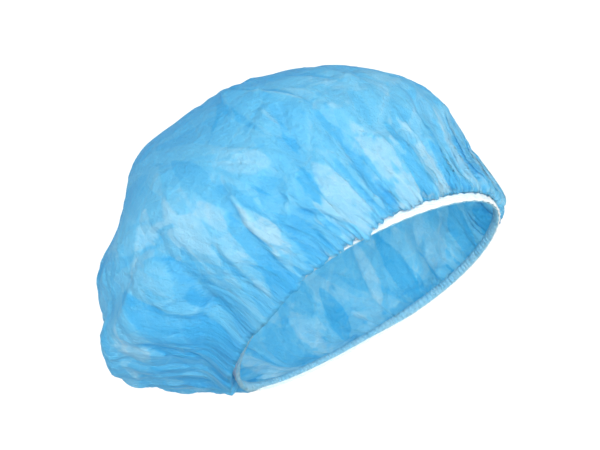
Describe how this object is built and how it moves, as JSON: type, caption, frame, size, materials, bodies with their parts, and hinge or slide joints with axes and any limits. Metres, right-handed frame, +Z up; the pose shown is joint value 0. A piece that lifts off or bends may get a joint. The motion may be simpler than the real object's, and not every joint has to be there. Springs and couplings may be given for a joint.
{
  "type": "disposable bouffant hairnet",
  "caption": "Puffed head covering of thin non-woven cloth gathered onto an elastic loop, in its worn shape with an open hollow for the head.",
  "frame": {"origin": "centre of the elastic's loop, where the cap sits on a head", "axes": "+Z up with the cap as worn, the wearer faces -Y and has their right hand on the -X side"},
  "size_m": [0.2319, 0.2693, 0.2094],
  "materials": {
    "cloth": "matte embossed non-woven polypropylene, slightly see-through",
    "elastic": "matte white ribbed elastic"
  },
  "bodies": {
    "root": {"crown": "cloth", "elastic_band": "elastic"}
  },
  "joints": []
}
